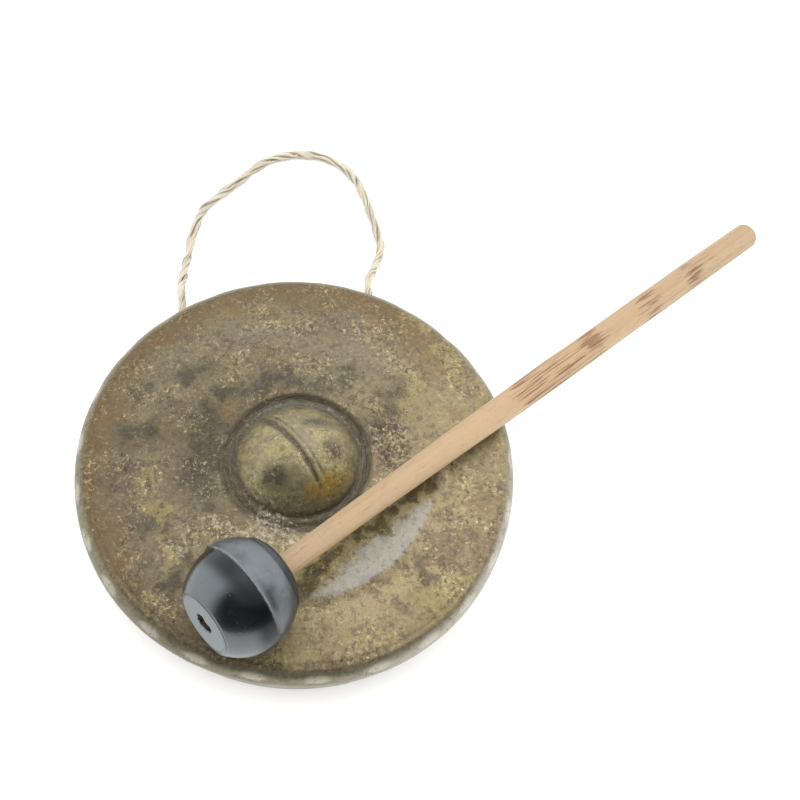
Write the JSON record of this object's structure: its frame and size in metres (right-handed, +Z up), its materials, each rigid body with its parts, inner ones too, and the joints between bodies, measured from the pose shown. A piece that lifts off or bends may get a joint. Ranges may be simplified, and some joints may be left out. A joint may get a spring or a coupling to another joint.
{
  "type": "tam tam gong",
  "caption": "Bossed hand gong with a deep inward-leaning rim, lying face up with its twisted raffia hanging cord and a rubber-headed wooden mallet.",
  "frame": {"origin": "on the surface the gong lies on, under the centre of the box round the gong and its mallet; the gong's own axis stands at x -0.0689, y -0.0298", "axes": "+Z up along the gong's axis, out of its face; +X to the right along the longer side, towards the free end of the mallet; +Y away from the viewer, towards the hanging cord"},
  "size_m": [0.3376, 0.3086, 0.0884],
  "materials": {
    "patinated_bronze": "hammered bronze with a dull olive-brown patina, semi-gloss",
    "raffia_cord": "two-ply twisted raffia, dry and fibrous",
    "handle_wood": "raw turned wood, open brown pores, matt",
    "grey_rubber": "moulded blue-grey rubber, satin"
  },
  "bodies": {
    "gong": {"gong_shell": "patinated_bronze", "cord_end_left": "raffia_cord", "cord_end_right": "raffia_cord", "cord_knot_left": "raffia_cord", "cord_knot_right": "raffia_cord"},
    "cord_loop": {"hanging_cord": "raffia_cord"},
    "mallet": {"mallet_handle": "handle_wood", "mallet_head": "grey_rubber"}
  },
  "joints": [
    {"name": "cord_loop_swing", "type": "hinge", "parent": "gong", "child": "cord_loop", "pos_m": [-0.08317, 0.06055, 0.024], "axis": [0.9877, 0.1564, 0], "range_deg": [0, 90]},
    {"name": "mallet_lift", "type": "slide", "parent": "gong", "child": "mallet", "axis": [0, 0, 1], "range_m": [0, 0.25]}
  ]
}
